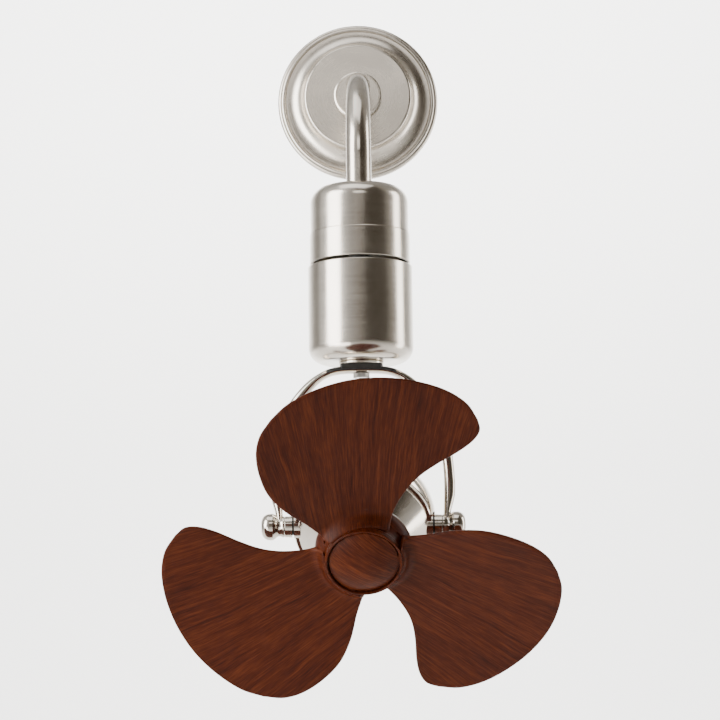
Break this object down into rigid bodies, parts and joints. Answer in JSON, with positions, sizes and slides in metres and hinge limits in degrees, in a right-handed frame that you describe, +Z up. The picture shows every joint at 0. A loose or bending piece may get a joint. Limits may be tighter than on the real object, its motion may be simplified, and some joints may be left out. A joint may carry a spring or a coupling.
{
  "type": "wall fan",
  "caption": "Wall fan: round canopy, bent arm, swinging round housing, horseshoe yoke and a tilting motor with broad wood-look blades.",
  "frame": {"origin": "centre of the wall face, on the wall plane", "axes": "+Y into the wall, +Z up, +X to the right seen from the front; the fan reaches out along -Y"},
  "size_m": [0.4412, 0.3646, 0.8136],
  "materials": {
    "brushed_nickel": "brushed warm nickel plate, satin lacquer",
    "polished_nickel": "polished warm nickel plate",
    "zinc_steel": "zinc plated steel",
    "cast_aluminium": "as cast",
    "bearing_steel": "ground",
    "core_steel": "stacked sheet, varnished",
    "copper_winding": null,
    "gear_plastic": "natural acetal",
    "black_plastic": "moulded, matt",
    "black_paint": "satin black",
    "black_rubber": "moulded",
    "walnut_plastic": "moulded with a satin walnut wood-grain film"
  },
  "bodies": {
    "wall_arm": {"wall_plate": "zinc_steel", "arm_flange": "cast_aluminium", "flange_screws": "zinc_steel", "flange_set_screw": "zinc_steel", "terminal_block": "black_plastic", "run_capacitor": "black_plastic", "canopy": "brushed_nickel", "canopy_collar": "brushed_nickel", "canopy_collar_screw": "zinc_steel", "arm_tube": "brushed_nickel", "upper_cap": "brushed_nickel", "arm_socket": "cast_aluminium", "socket_pin": "zinc_steel", "middle_ring": "brushed_nickel", "ring_screws": "zinc_steel", "spindle": "zinc_steel", "spindle_screws": "zinc_steel", "sun_gear": "gear_plastic", "spindle_nut": "zinc_steel"},
    "swing_head": {"lower_cup": "brushed_nickel", "turntable": "cast_aluminium", "turntable_screws": "zinc_steel", "upper_bearing": "bearing_steel", "lower_bearing": "bearing_steel", "bracket_posts": "zinc_steel", "motor_bracket": "zinc_steel", "bracket_screws": "zinc_steel", "swing_motor": "zinc_steel", "swing_motor_screws": "zinc_steel", "bottom_collar": "polished_nickel", "saddle_pad": "black_plastic", "yoke": "polished_nickel", "yoke_bolt": "zinc_steel", "yoke_nut": "zinc_steel"},
    "swing_pinion": {"drive_pinion": "gear_plastic"},
    "tilt_head": {"pivot_washers": "black_plastic", "pivot_collars": "polished_nickel", "pivot_knobs": "polished_nickel", "pivot_bolts": "zinc_steel", "rear_shell": "polished_nickel", "cable_grommet": "black_rubber", "trim_ring": "polished_nickel", "front_cone": "polished_nickel", "front_plate": "black_paint", "housing_screws": "zinc_steel", "stator_core": "core_steel", "stator_windings": "copper_winding", "rear_motor_bearing": "bearing_steel", "front_motor_bearing": "bearing_steel"},
    "impeller": {"rotor_core": "core_steel", "motor_shaft": "zinc_steel", "blade_hub": "walnut_plastic", "blade_1": "walnut_plastic", "blade_2": "walnut_plastic", "blade_3": "walnut_plastic", "blade_screws": "zinc_steel", "hub_nut": "zinc_steel", "hub_cap": "walnut_plastic"}
  },
  "joints": [
    {"name": "head_swing", "type": "hinge", "parent": "wall_arm", "child": "swing_head", "pos_m": [0, -0.168, -0.3], "axis": [0, 0, 1], "range_deg": [-30, 30]},
    {"name": "pinion_spin", "type": "hinge", "parent": "swing_head", "child": "swing_pinion", "pos_m": [0.0275, -0.168, -0.287], "axis": [0, 0, 1], "range_deg": [-53, 53]},
    {"name": "motor_tilt", "type": "hinge", "parent": "swing_head", "child": "tilt_head", "pos_m": [0, -0.168, -0.528], "axis": [1, 0, 0], "range_deg": [-30, 8]},
    {"name": "impeller_spin", "type": "hinge", "parent": "tilt_head", "child": "impeller", "pos_m": [0, -0.168, -0.528], "axis": [0, -0.766, -0.6428], "continuous": true}
  ],
  "couplings": [
    {"joint": "pinion_spin", "follows": "head_swing", "ratio": 1.75}
  ]
}
